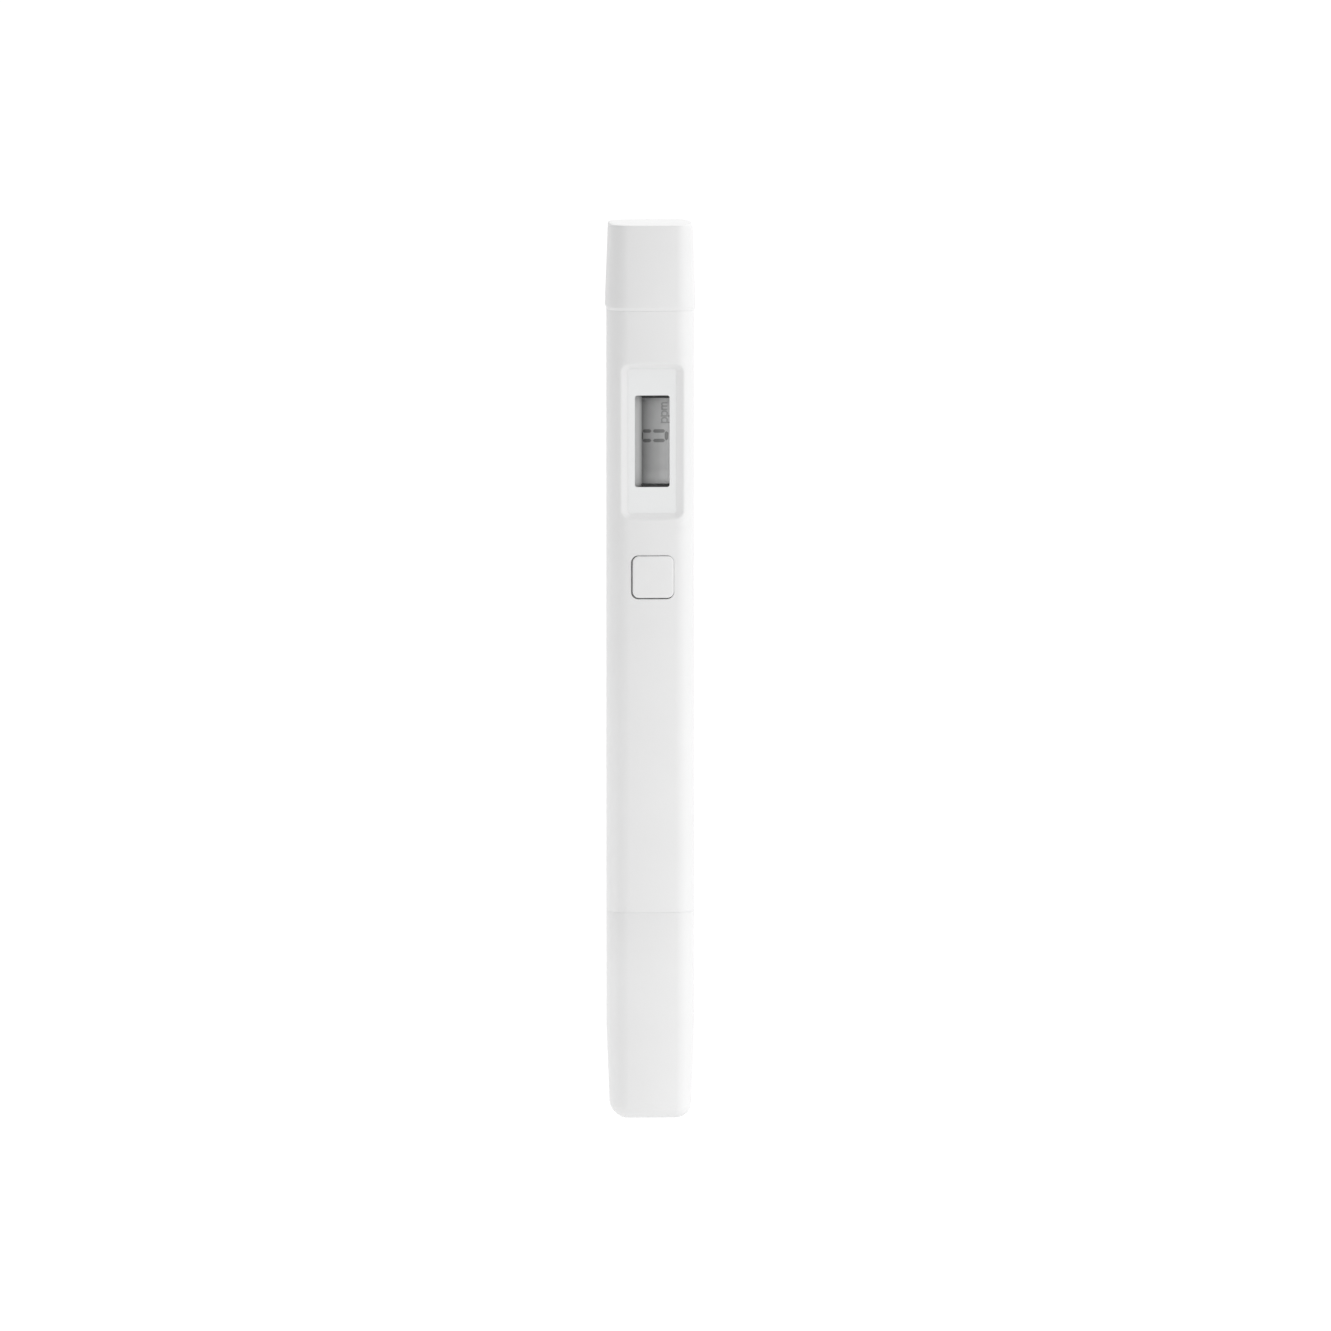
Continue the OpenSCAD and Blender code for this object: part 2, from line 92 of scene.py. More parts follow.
# The four faces are slightly crowned: large arcs that run smoothly into tighter corner arcs.
CROWN_R = 42.0
CROWN_HALF = 4.0                       # how far each side of its middle the large arc runs
TILT = math.asin(CROWN_HALF / CROWN_R)
CROWN_EDGE = HALF - CROWN_R * (1 - math.cos(TILT))
ARC_R = (CROWN_EDGE - CROWN_HALF) * math.sqrt(2) / (2 * math.sin(math.pi / 4 - TILT))
ARC_C = CROWN_HALF - ARC_R * math.sin(TILT)
SHELL_FLAT, SHELL_ARC = 6, 14          # segments of each face and each corner of the shells' outlines


# ---------------------------------------------------------------- mesh helpers

def make_object(name, shape, body, node, material, smooth_deg=40):
    """A mesh piece from (vertices, faces) in millimetres, riding on a body and standing for a CAD node."""
    verts, faces = shape
    mesh = bpy.data.meshes.new(name)
    bm = bmesh.new()
    points = [bm.verts.new([c * MM for c in v]) for v in verts]
    for face in faces:
        try:
            bm.faces.new([points[i] for i in face])
        except ValueError:
            pass
    bmesh.ops.remove_doubles(bm, verts=bm.verts, dist=2e-7)
    bmesh.ops.dissolve_degenerate(bm, dist=1e-8, edges=bm.edges)
    bmesh.ops.recalc_face_normals(bm, faces=bm.faces)
    for face in bm.faces:
        face.smooth = True
    for edge in bm.edges:
        edge.smooth = not (edge.is_manifold and edge.calc_face_angle(0) > math.radians(smooth_deg))
    bm.to_mesh(mesh)
    bm.free()
    mesh.materials.append(material)
    obj = bpy.data.objects.new(name, mesh)
    bpy.context.scene.collection.objects.link(obj)
    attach(obj, body)
    if node:
        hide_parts(node)
    return obj


def plan_loop(cx, cy, r, n_flat, n_arc, ox=0.0, oy=0.0):
    """Points round a rectangle with round corners, anticlockwise from the start of the right side."""
    points = []
    for i, (sx, sy) in enumerate(((1, 1), (-1, 1), (-1, -1), (1, -1))):
        for k in range(n_arc + 1):
            a = (i + k / n_arc) * math.pi / 2
            points.append((ox + sx * cx + r * math.cos(a), oy + sy * cy + r * math.sin(a)))
        nx, ny = ((-1, 1), (-1, -1), (1, -1), (1, 1))[i]
        a = (i + 1) * math.pi / 2
        end = (ox + nx * cx + r * math.cos(a), oy + ny * cy + r * math.sin(a))
        start = points[-1]
        for k in range(1, n_flat):
            t = k / n_flat
            points.append((start[0] + (end[0] - start[0]) * t, start[1] + (end[1] - start[1]) * t))
    return points


def loft(rings, close_start=True, close_end=True):
    """Vertices and faces between rings of equal length; the ends are closed with one face each."""
    verts, faces = [], []
    n = len(rings[0])
    for ring in rings:
        verts += ring
    for i in range(len(rings) - 1):
        for k in range(n):
            m = (k + 1) % n
            faces.append((i * n + k, i * n + m, (i + 1) * n + m, (i + 1) * n + k))
    if close_start:
        faces.append(tuple(range(n)))
    if close_end:
        faces.append(tuple((len(rings) - 1) * n + k for k in reversed(range(n))))
    return verts, faces


def merge(parts):
    """Several (vertices, faces) pairs as one."""
    verts, faces = [], []
    for v, f in parts:
        base = len(verts)
        verts += v
        faces += [tuple(i + base for i in face) for face in f]
    return verts, faces


def grid(lines):
    """Vertices and faces of an open sheet between lines of equal length."""
    n = len(lines[0])
    faces = [(i * n + k, i * n + k + 1, (i + 1) * n + k + 1, (i + 1) * n + k)
             for i in range(len(lines) - 1) for k in range(n - 1)]
    return [point for line in lines for point in line], faces


def crown_flat(a, out):
    """Point (along, outward) on a crowned face, a along it and out from the barrel's surface."""
    tilt = math.asin(a / CROWN_R)
    r = CROWN_R + out
    return r * math.sin(tilt), HALF - CROWN_R + r * math.cos(tilt)


def crown_arc(angle, out):
    """The same on a corner arc, by the angle of its normal from the outward direction of the face."""
    return ARC_C + (ARC_R + out) * math.sin(angle), ARC_C + (ARC_R + out) * math.cos(angle)


def shell_loop(r, z):
    """Crowned outline of the pen whose corner radius would be r, in the order plan_loop uses."""
    out = r - CORNER
    quarter = []
    for k in range(SHELL_ARC + 1):
        b, a = crown_arc(TILT + (math.pi / 2 - 2 * TILT) * k / SHELL_ARC, out)
        quarter.append((a, b))
    for k in range(1, SHELL_FLAT):
        quarter.append(crown_flat(CROWN_HALF - 2 * CROWN_HALF * k / SHELL_FLAT, out))
    loop = []
    for i in range(4):
        for x, y in quarter:
            for _ in range(i):
                x, y = -y, x
            loop.append((x, y, z))
    return loop


def upright(centre, r, z):
    """A square loop round the pen's axis with corner arcs of radius r about the given centres."""
    return [(x, y, z) for x, y in plan_loop(centre, centre, r, SHELL_FLAT, SHELL_ARC)]


def facing(cx, cz, r, front, z, n_flat=6, n_arc=12, ox=0.0):
    """A loop that faces the front, at a distance before the pen's axis."""
    return [(x, -front, y) for x, y in plan_loop(cx, cz, r, n_flat, n_arc, ox, z)]


def quarter_turn(steps):
    """Angles from 0 to 90 degrees."""
    return [math.radians(90.0 * k / steps) for k in range(steps + 1)]


# ---------------------------------------------------------------- materials

class Shader:
    """Short calls for building a node material."""

    def __init__(self, name):
        self.mat = bpy.data.materials.new(name)
        self.mat.use_nodes = True
        self.tree = self.mat.node_tree
        self.tree.nodes.clear()
        self.out = self.node("ShaderNodeOutputMaterial")
        self.coord = self.node("ShaderNodeTexCoord")

    def node(self, kind, **values):
        node = self.tree.nodes.new(kind)
        for key, value in values.items():
            if key in node.inputs:
                node.inputs[key].default_value = value
            else:
                setattr(node, key, value)
        return node

    def link(self, value, socket):
        """Feed a socket from another node's output, or give it a plain value."""
        if hasattr(value, "links"):
            self.tree.links.new(value, socket)
        else:
            socket.default_value = value

    def shade(self, surface):
        self.link(surface, self.out.inputs["Surface"])
        return self.mat

    def along(self, axis):
        split = self.node("ShaderNodeSeparateXYZ")
        self.link(self.coord.outputs["Object"], split.inputs["Vector"])
        return split.outputs[axis]

    def place(self, scale):
        m = self.node("ShaderNodeMapping", Scale=scale)
        self.link(self.coord.outputs["Object"], m.inputs["Vector"])
        return m.outputs["Vector"]

    def noise(self, scale, detail=3.0, rough=0.5, vector=None):
        n = self.node("ShaderNodeTexNoise", Scale=scale, Detail=detail, Roughness=rough)
        self.link(vector or self.coord.outputs["Object"], n.inputs["Vector"])
        return n.outputs["Fac"]

    def voronoi(self, scale, vector):
        n = self.node("ShaderNodeTexVoronoi", Scale=scale)
        self.link(vector, n.inputs["Vector"])
        return n.outputs["Distance"]

    def ramp(self, fac, stops):
        r = self.node("ShaderNodeValToRGB")
        while len(r.color_ramp.elements) < len(stops):
            r.color_ramp.elements.new(0.5)
        for element, (pos, colour) in zip(r.color_ramp.elements, stops):
            element.position = pos
            element.color = (*colour, 1)
        self.link(fac, r.inputs["Fac"])
        return r.outputs["Color"]

    def spread(self, fac, low, high, from_low=0.3, from_high=0.7):
        """Map a range of fac to low and high, clamped."""
        m = self.node("ShaderNodeMapRange")
        ends = {"From Min": from_low, "From Max": from_high, "To Min": low, "To Max": high, "Value": fac}
        for key, value in ends.items():
            self.link(value, m.inputs[key])
        return m.outputs["Result"]

    def maths(self, operation, a, b=0.0):
        m = self.node("ShaderNodeMath", operation=operation)
        self.link(a, m.inputs[0])
        self.link(b, m.inputs[1])
        return m.outputs[0]

    def blend(self, fac, colour, other):
        """A colour, and the other one where fac is 1."""
        mix = self.node("ShaderNodeMix", data_type="RGBA")
        for i, value in ((0, fac), (6, colour), (7, (*other, 1))):
            self.link(value, mix.inputs[i])
        return mix.outputs[2]

    def mix_shaders(self, fac, first, second):
        mix = self.node("ShaderNodeMixShader")
        for socket, value in zip(mix.inputs, (fac, first, second)):
            self.link(value, socket)
        return mix.outputs["Shader"]

    def bump(self, height, strength, distance):
        b = self.node("ShaderNodeBump", Strength=strength, Distance=distance)
        self.link(height, b.inputs["Height"])
        return b.outputs["Normal"]

    def principled(self, **values):
        p = self.node("ShaderNodeBsdfPrincipled")
        for key, value in values.items():
            self.link(value, p.inputs[key.replace("_", " ")])
        return self.shade(p.outputs["BSDF"])


def grey(v):
    return (v, v, v)


def tinted(colour, share):
    return tuple(c * share for c in colour)


def moulded(name, colour, rough=0.45, grain=2600, bump=0.25, depth=1.2e-5, variation=0.02,
            sss=0.0, spec=0.45):
    """Moulded plastic with a fine spark texture, faint flow variation and uneven gloss."""
    s = Shader(name)
    scatter = dict(Subsurface_Weight=sss, Subsurface_Radius=(1, 0.95, 0.9), Subsurface_Scale=0.0006)
    return s.principled(
        Base_Color=s.ramp(s.noise(90, 2), [(0.3, tinted(colour, 1 - variation)), (0.7, colour)]),
        Roughness=s.spread(s.noise(600, 2), rough - 0.05, rough + 0.06),
        Specular_IOR_Level=spec,
        Normal=s.bump(s.noise(grain, 4, 0.6), bump, depth),
        **(scatter if sss else {}),
    )


def rubbery(name, colour, rough=0.6, grain=5000, bump=0.4, depth=1.5e-5):
    """Matt rubber with a little pale dust."""
    s = Shader(name)
    return s.principled(
        Base_Color=s.ramp(s.noise(900, 4, 0.65), [(0.45, colour), (0.8, tinted(colour, 1.7))]),
        Roughness=s.spread(s.noise(700, 2), rough - 0.08, rough + 0.1),
        Specular_IOR_Level=0.35,
        Normal=s.bump(s.noise(grain, 3), bump, depth),
    )


def metal(name, colour, rough=0.25, stretch=(1, 1, 1), grain=1500, bump=0.2, depth=4e-6):
    """Metal with drawn lines along the short axis of stretch and faint handling marks."""
    s = Shader(name)
    lines = s.noise(grain, 4, 0.6, s.place(stretch))
    return s.principled(
        Base_Color=s.ramp(s.noise(260, 3), [(0.3, tinted(colour, 0.85)), (0.65, colour)]),
        Metallic=1.0,
        Roughness=s.spread(lines, rough - 0.06, rough + 0.1),
        Normal=s.bump(lines, bump, depth),
    )


def film_material():
    """Clear hard-coated film: see-through, with a faint even reflection on its outer side."""
    s = Shader("clear_film")
    clear = s.node("ShaderNodeBsdfTransparent", Color=(0.995, 0.997, 0.997, 1))
    gloss = s.node("ShaderNodeBsdfGlossy")
    s.link(s.spread(s.noise(400, 3), 0.18, 0.3), gloss.inputs["Roughness"])
    outer = s.maths("SUBTRACT", 1.0, s.node("ShaderNodeNewGeometry").outputs["Backfacing"])
    share = s.maths("MULTIPLY", s.node("ShaderNodeLayerWeight", Blend=0.12).outputs["Fresnel"], outer)
    return s.shade(s.mix_shaders(share, clear.outputs["BSDF"], gloss.outputs["BSDF"]))


def lcd_material(name, share):
    """Grey polarising film with painted reflection and painted light: darker to the left, paler to the
    right and paler at its low end; share darkens the segments.
    """
    s = Shader(name)
    # painted reflection and painted shade: the film darker to the left and paler to the right, lifted most
    # near the right edge that the window's wall shades
    across = s.spread(s.along("X"), 0.0, 1.0, -1.7 * MM, 3.2 * MM)
    stops = ((0.0, 0.15), (0.06, 0.17), (0.3, 0.3), (0.57, 0.45), (0.84, 0.74), (0.89, 0.88))
    painted_reflection_tone = s.ramp(across, [(p, grey(v * (share + (1 - share) * 0.25 * p))) for p, v in stops])
    # painted light: the film paler towards its low end, where the window's lower edge shades it
    painted_light_low_end = s.spread(s.along("Z"), 1.5, 1.0, (DISPLAY_Z - 7.2) * MM, (DISPLAY_Z - 4.8) * MM)
    scale = s.node("ShaderNodeVectorMath", operation="SCALE")
    s.link(painted_reflection_tone, scale.inputs[0])
    s.link(s.maths("MULTIPLY", s.spread(s.noise(700, 3), 0.96, 1.03), painted_light_low_end), scale.inputs["Scale"])
    return s.principled(
        Base_Color=scale.outputs["Vector"],
        Roughness=s.spread(s.noise(2500, 2), 0.4, 0.5),
        Specular_IOR_Level=0.25,
        Normal=s.bump(s.noise(14000, 2), 0.15, 2e-6),
    )


WHITE = moulded("white_abs", grey(0.80), rough=0.5, sss=0.06, spec=0.3)
WHITE_KEY = moulded("white_key_abs", grey(0.81), rough=0.48, grain=3200, sss=0.06, spec=0.3)
# painted light: the print is paler than the body's white to offset the shade of the recess and the film
# over it
PRINT = moulded("white_print", grey(0.86), rough=0.5, grain=5000, bump=0.12)
IVORY = moulded("ivory_abs", (0.74, 0.735, 0.71), rough=0.5, grain=1800, variation=0.05)
FILM = film_material()
LCD = lcd_material("lcd_grey_film", 1.0)
INK = lcd_material("lit_segments", 0.37)
FAINT_INK = lcd_material("unit_letters", 0.58)
FOAM = rubbery("black_foam", grey(0.03), rough=0.85, grain=7000, bump=0.8, depth=4e-5)


# ---------------------------------------------------------------- outer shells

def cover_shell():
    """Battery cover: flared rim, slight taper, rounded top edge and a deep socket."""
    rim = box_mm("battery_cover")[1][0] - CORE
    top, edge, lip = 7.05 - CORE, 0.4, 0.55
    foot = COVER_Z0 - SEAM_FILL
    rings = []
    for t, out in ((0.0, 0.0), (0.5, 0.5), (0.75, 0.75), (0.88, 0.86),
                   (0.96, 0.93), (1.0, 0.95), (1.1, 0.98), (1.3, 1.0)):
        rings.append(shell_loop(CORNER + (rim - CORNER) * out, foot + lip * t))
    start = foot + lip * 1.3
    for k in range(1, 9):
        t = k / 8
        rings.append(shell_loop(rim + (top - rim) * t, start + (PEN_H - edge - start) * t))
    for a in quarter_turn(6)[1:]:
        rings.append(shell_loop(top - edge + edge * math.cos(a), PEN_H - edge + edge * math.sin(a)))
    for r in (1.6, 0.8, 0.3):
        rings.append(shell_loop(r, PEN_H))
    socket = 6.2 - 2.0                                     # corner centres of the socket
    ceiling = box_mm("battery_cage")[1][2] + 0.1
    inner = [shell_loop(CORNER, foot)]
    for r, z in ((2.12, foot), (2.0, COVER_Z0 + 0.25), (2.0, ceiling - 0.3),
                 (1.9, ceiling - 0.08), (1.7, ceiling)):
        inner.append(upright(socket, r, z))
    shape = merge([loft(rings, close_start=False), loft(inner, close_start=False)])
    make_object("battery_cover_shell", shape, "battery_cover", "battery_cover", WHITE)


def cap_shell():
    """Probe cap: straight above, tapering below, rounded under at the foot, hollow."""
    foot, straight_z, edge = 6.8 - CORE, 15.0, 0.01        # foot is the radius of the rounded edge
    rings = []
    for a in reversed(quarter_turn(14)):
        rings.append(shell_loop(max(foot * math.cos(a), 0.02), foot - foot * math.sin(a)))
    for k in range(1, 7):
        t = k / 6
        rings.append(shell_loop(foot + (CORNER - foot) * t, foot + (straight_z - foot) * t))
    rings.append(shell_loop(CORNER, (straight_z + CAP_TOP) / 2))
    top = CAP_TOP + SEAM_FILL
    for a in quarter_turn(2):
        rings.append(shell_loop(CORNER - edge + edge * math.cos(a), top - edge + edge * math.sin(a)))
    mouth_r, deep_r = 1.9, 1.8
    mouth, deep = 6.1 - mouth_r, 5.5 - deep_r              # corner centres of the two bores
    for r, z in ((mouth_r + 0.12, top), (mouth_r, CAP_TOP - 0.25), (mouth_r, 14.1)):
        rings.append(upright(mouth, r, z))
    for r, z in ((deep_r + 0.1, 14.0), (deep_r, 13.9)):
        rings.append(upright(deep, r, z))
    for a in quarter_turn(5):
        rings.append(upright(deep, deep_r - 1.0 + math.cos(a), 3.2 - math.sin(a)))
    make_object("probe_cap_shell", loft(rings), "probe_cap", "probe_cap", WHITE)


N_FLAT, N_ARC = 12, 16      # segments of the loops round the two openings
X_GRAPH = 6.4               # the front is a height map out to here


def normal_angle(x):
    """Angle of the surface's normal from the front, at x across the front."""
    over = abs(x)
    sine = over / CROWN_R if over <= CROWN_HALF else min((over - ARC_C) / ARC_R, 1.0)
    return math.copysign(math.asin(sine), x)


def front_depth(x):
    """How far the barrel's plain surface lies behind its front plane."""
    angle = abs(normal_angle(x))
    if abs(x) <= CROWN_HALF:
        return CROWN_R * (1 - math.cos(angle))
    return HALF - ARC_C - ARC_R * math.cos(angle)


def soft_max(a, b, k):
    """The larger of two values, with the change from one to the other rounded off."""
    return b + 0.5 * (a - b + math.sqrt((a - b) * (a - b) + k * k))


def recess_depth(x, z, d):
    """Depth of the surface at a distance d outside the edge of the recess floor."""
    ox = max(abs(x) - FLOOR_CX, 0.0)
    oz = max(abs(z - DISPLAY_Z) - FLOOR_CZ, 0.0)
    lean = oz * oz / max(ox * ox + oz * oz, 1e-9)
    slope = SIDE_SLOPE + (END_SLOPE - SIDE_SLOPE) * lean
    out = max(d, 0.0)
    return soft_max(FLOOR_DEPTH - slope * out * out / (out + SLOPE_FOOT), front_depth(x), 0.1)


def opening_loop(cx, cz, d, t_square, z):
    """Loop at distance d outside the corner centres, blending into the rectangle of the patch."""
    loop = []
    for x, y in plan_loop(cx, cz, d, N_FLAT, N_ARC):
        ox = max(abs(x) - cx, 0.0)
        oy = max(abs(y) - cz, 0.0)
        if t_square > 0 and ox > 0 and oy > 0:
            m = max(ox, oy) / d
            x += t_square * (math.copysign(cx + ox / m, x) - x)
            y += t_square * (math.copysign(cz + oy / m, y) - y)
        loop.append((x, y + z))
    return loop


def on_front(loop, drop=0.0):
    """The loop's (x, z) points laid on the barrel's front, or a little below it."""
    return [(x, -(HALF - front_depth(x) - drop), z) for x, z in loop]


def inner_point(x, z, limit=HALF):
    """Point of the barrel's inside that lies behind an outside point, no farther out than the limit."""
    if abs(x) <= CROWN_HALF:
        return (x * CORE / CROWN_HALF, -min(HALF - WALL, limit), z)
    turn = (abs(normal_angle(x)) - TILT) / (math.pi / 2 - 2 * TILT) * math.pi / 2
    r = CORNER - WALL
    return (math.copysign(CORE + r * math.sin(turn), x), -min(CORE + r * math.cos(turn), limit), z)


def display_patch():
    """The front round the display: lens pocket, ledge and softly sloped recess, with its inside."""
    steps = [-0.045, 0.0] + [0.05 * k for k in range(1, 8)] + [0.4 + 0.08 * k for k in range(20)]
    outer, inner = [], []
    for d in steps:
        loop = opening_loop(FLOOR_CX, FLOOR_CZ, FLOOR_R + d, 0.0, DISPLAY_Z)
        outer.append([(x, -(HALF - recess_depth(x, z, d)), z) for x, z in loop])
        inner.append([inner_point(x, z, PAD_BACK if d < PAD_REACH else HALF) for x, z in loop])
    loop = opening_loop(FLOOR_CX, FLOOR_CZ, X_GRAPH - FLOOR_CX, 1.0, DISPLAY_Z)
    outer.append(on_front(loop))
    inner.append([inner_point(x, z) for x, z in loop])
    floor = LENS_BACK - 0.09
    pocket = facing(FLOOR_CX, FLOOR_CZ, 0.455, floor, DISPLAY_Z, N_FLAT, N_ARC)
    plan = (LEDGE_HALF[0] - LEDGE_R, LEDGE_HALF[1] - LEDGE_R, LEDGE_R)
    ledge, ledge_back = (facing(*plan, depth, DISPLAY_Z, N_FLAT, N_ARC, LEDGE_X)
                         for depth in (floor, PAD_BACK))
    sheets = ([ledge_back, ledge, pocket] + outer, [ledge_back] + inner)
    return [loft(rings, False, False) for rings in sheets], outer[-1]


def key_patch():
    """The front round the key: opening with a small round, with its inside."""
    hole_r = KEY_R + KEY_GAP
    fillet = 0.14
    near, far, rows = hole_r + fillet + 0.12, X_GRAPH - KEY_CX, 16
    outer, inner = [], []
    for a in quarter_turn(4):
        loop = opening_loop(KEY_CX, KEY_CZ, hole_r + fillet * (1 - math.cos(a)), 0, KEY_Z)
        outer.append(on_front(loop, fillet * (1 - math.sin(a))))
    wall = [(x, -(HALF - WALL), z) for x, z in opening_loop(KEY_CX, KEY_CZ, hole_r, 0, KEY_Z)]
    for k in range(rows + 1):
        loop = opening_loop(KEY_CX, KEY_CZ, near + (far - near) * (k / rows), (k / rows) ** 2, KEY_Z)
        outer.append(on_front(loop))
        inner.append([inner_point(x, z) for x, z in loop])
    return [loft([wall] + outer, False, False), loft([wall] + inner, False, False)], outer[-1]


def patch_side(loop, i):
    """Side i of a patch's rectangle: 0 top (right to left), 1 left (down), 2 bottom, 3 right (up)."""
    side = N_FLAT + N_ARC
    start = N_ARC // 2 + i * side
    return [loop[(start + k) % (4 * side)] for k in range(side + 1)]


def front_row(xs, z, inset, is_inner):
    """Row of the front from right to left; inset pulls it in behind the surface."""
    if is_inner:
        return [inner_point(x, z) for x in xs]
    row = []
    for x in xs:
        angle = normal_angle(x)
        row.append((x - inset * math.sin(angle), -(HALF - front_depth(x) - inset * math.cos(angle)), z))
    return row


def back_row(z, inset, is_inner):
    """Row from the right edge of the front, round the back, to its left edge."""
    first, last = normal_angle(X_GRAPH), math.pi / 2 - TILT
    half = []

    def corner(angle, flip):
        turn = (angle - TILT) / (last - TILT) * math.pi / 2
        r = CORNER - WALL
        if is_inner:
            a, b = CORE + r * math.sin(turn), CORE + r * math.cos(turn)
        else:
            a, b = crown_arc(angle, -inset)
        half.append((b, a, z) if flip else (a, -b, z))

    def face(along, flip):
        a, b = (along * CORE / CROWN_HALF, HALF - WALL) if is_inner else crown_flat(along, -inset)
        half.append((a, b, z) if flip else (b, a, z))

    for k in range(7):
        corner(first + (last - first) * k / 6, False)
    for k in range(1, 9):
        face(-CROWN_HALF + CROWN_HALF * k / 4, False)
    for k in range(1, 15):
        corner(TILT + (last - TILT) * k / 14, True)
    for k in range(1, 5):
        face(CROWN_HALF - CROWN_HALF * k / 4, True)
    mirror = [(-x, y, z) for x, y, z in half[:-1]]
    return half + mirror[::-1]


def housing_shell():
    """Barrel: the two patches of its front, the rows of the front outside them, and its sides and back."""
    parts, display_edge = display_patch()
    key_parts, key_edge = key_patch()
    parts += key_parts
    display_xs, key_xs = ([p[0] for p in patch_side(edge, 0)] for edge in (display_edge, key_edge))
    display_top, display_bottom = (patch_side(display_edge, i)[0][2] for i in (0, 2))
    key_top, key_bottom = (patch_side(key_edge, i)[0][2] for i in (0, 2))

    # groups of rows, upwards, each row as (x of its points, z, inset); the barrel's ends are just broken
    ends = [(0.06, 0.0), (0.01, 0.0), (0.003, 0.003), (0.0, 0.01)]
    plain = ends[0][0]
    lower = [(key_xs, BARREL_Z0 + dz, inset) for dz, inset in reversed(ends)]
    for k in range(1, 13):
        lower.append((key_xs, BARREL_Z0 + plain + (key_bottom - BARREL_Z0 - plain) * k / 12, 0.0))
    middle = [(key_xs, key_top, 0.0), (display_xs, display_bottom, 0.0)]
    upper = [(display_xs, display_top + (BARREL_Z1 - plain - display_top) * k / 5, 0.0) for k in range(5)]
    upper += [(display_xs, BARREL_Z1 - dz, inset) for dz, inset in ends]

    # one row of the sides and the back for every z of the front's edge
    rows = [(z, inset) for _, z, inset in lower]
    rows += [(p[2], 0.0) for p in patch_side(key_edge, 3)[1:] + patch_side(display_edge, 3)]
    rows += [(z, inset) for _, z, inset in upper[1:]]
    ring_ends = {}
    for is_inner in (False, True):
        for group in (lower, middle, upper):
            parts.append(grid([front_row(*row, is_inner) for row in group]))
        lines = [back_row(z, inset, is_inner) for z, inset in rows]
        parts.append(grid(lines))
        for end, group in ((0, lower), (-1, upper)):
            ring_ends[end, is_inner] = front_row(*group[end], is_inner)[::-1] + lines[end][1:-1]
    for end in (0, -1):
        parts.append(loft([ring_ends[end, False], ring_ends[end, True]], False, False))
    make_object("housing_shell", merge(parts), "tester", "housing", WHITE, 50)


def crown(loop):
    """The loop pushed back to follow the crowned front."""
    return [(x, y + front_depth(x), z) for x, y, z in loop]


def key_piece():
    """Key with a rounded edge, a very slight dish, a retaining flange and a stem."""
    edge, dish = 0.2, 0.05
    rings = []
    for f in (0.02, 0.15, 0.35, 0.55, 0.75, 0.9):
        depth = dish * (0.5 + 0.5 * math.cos(math.pi * f))
        rings.append(crown(facing(KEY_CX * f, KEY_CZ * f, (KEY_R - edge) * f, KEY_FRONT - depth, KEY_Z)))
    for a in quarter_turn(6):
        r = KEY_R - edge + edge * math.sin(a)
        rings.append(crown(facing(KEY_CX, KEY_CZ, r, KEY_FRONT - edge + edge * math.cos(a), KEY_Z)))
    flange_front = HALF - WALL - 0.05
    flange_back = flange_front - 0.5
    rings.append(facing(KEY_CX, KEY_CZ, KEY_R, flange_front, KEY_Z))
    rings = [[(x + KEY_PLAY[0], y, z + KEY_PLAY[1]) for x, y, z in ring] for ring in rings]
    for r, front in ((0.92, flange_front), (1.0, flange_front - 0.08), (1.0, flange_back)):
        rings.append(facing(4.2 - 1.0, 4.3 - 1.0, r, front, KEY_Z))
    for r, front in ((1.2, flange_back), (1.1, flange_back - 0.1),
                     (1.1, KEY_BACK + 0.15), (0.95, KEY_BACK)):
        rings.append(facing(0.1, 0.1, r, front, KEY_Z))
    make_object("key", loft(rings), "power_button", "power_button", WHITE_KEY)


# ---------------------------------------------------------------- display

def lens_pieces():
    """Clear film over the whole lens, and the white print under it that leaves the window."""
    r, edge, film = 0.45, 0.01, 0.025
    cx, cz = LENS_HALF[0] - r, LENS_HALF[1] - r
    rings = [facing(cx, cz, ring_r, front, DISPLAY_Z) for ring_r, front in (
        (r, LENS_FRONT - film), (r, LENS_FRONT - edge), (r - edge, LENS_FRONT))]
    make_object("lens_film", loft(rings), "tester", "display_lens", FILM)
    front, back = LENS_FRONT - film - 0.005, -box_mm("lens_mask")[1][1]
    window_r = 0.4
    window = (2.9 - window_r, 7.675 - window_r, window_r)
    ring = [facing(*plan, depth, DISPLAY_Z) for plan, depth in (
        ((cx, cz, r), back), ((cx, cz, r), front), (window, front), (window, back))]
    make_object("lens_print", loft(ring + ring[:1], False, False), "tester", "lens_mask", PRINT)


def stroke(points, width, depth, thick):
    """Flat bar along a line of (x, z) points, with mitred joints, on a surface that faces the front."""
    left, right = [], []
    for i, p in enumerate(points):
        a = Vector(points[max(i - 1, 0)])
        b = Vector(points[min(i + 1, len(points) - 1)])
        here = Vector(p)
        normals = [(v - u).orthogonal().normalized() for u, v in ((a, here), (here, b)) if v != u]
        n = sum(normals, Vector((0.0, 0.0))).normalized()
        reach = n * width / 2 / max(n.dot(normals[0]), 0.5)
        left.append(here + reach)
        right.append(here - reach)
    verts, faces = [], []
    for side in (left, right):
        for front in (depth + thick, depth):
            verts += [(q.x, -front, q.y) for q in side]
    n = len(points)
    lf, lb, rf, rb = (range(k * n, (k + 1) * n) for k in range(4))
    for i in range(n - 1):
        faces += [(lf[i], lf[i + 1], rf[i + 1], rf[i]), (lb[i], lb[i + 1], rb[i + 1], rb[i]),
                  (lf[i], lf[i + 1], lb[i + 1], lb[i]), (rf[i], rf[i + 1], rb[i + 1], rb[i])]
    faces += [(lf[0], lb[0], rb[0], rf[0]), (lf[-1], lb[-1], rb[-1], rf[-1])]
    return verts, faces


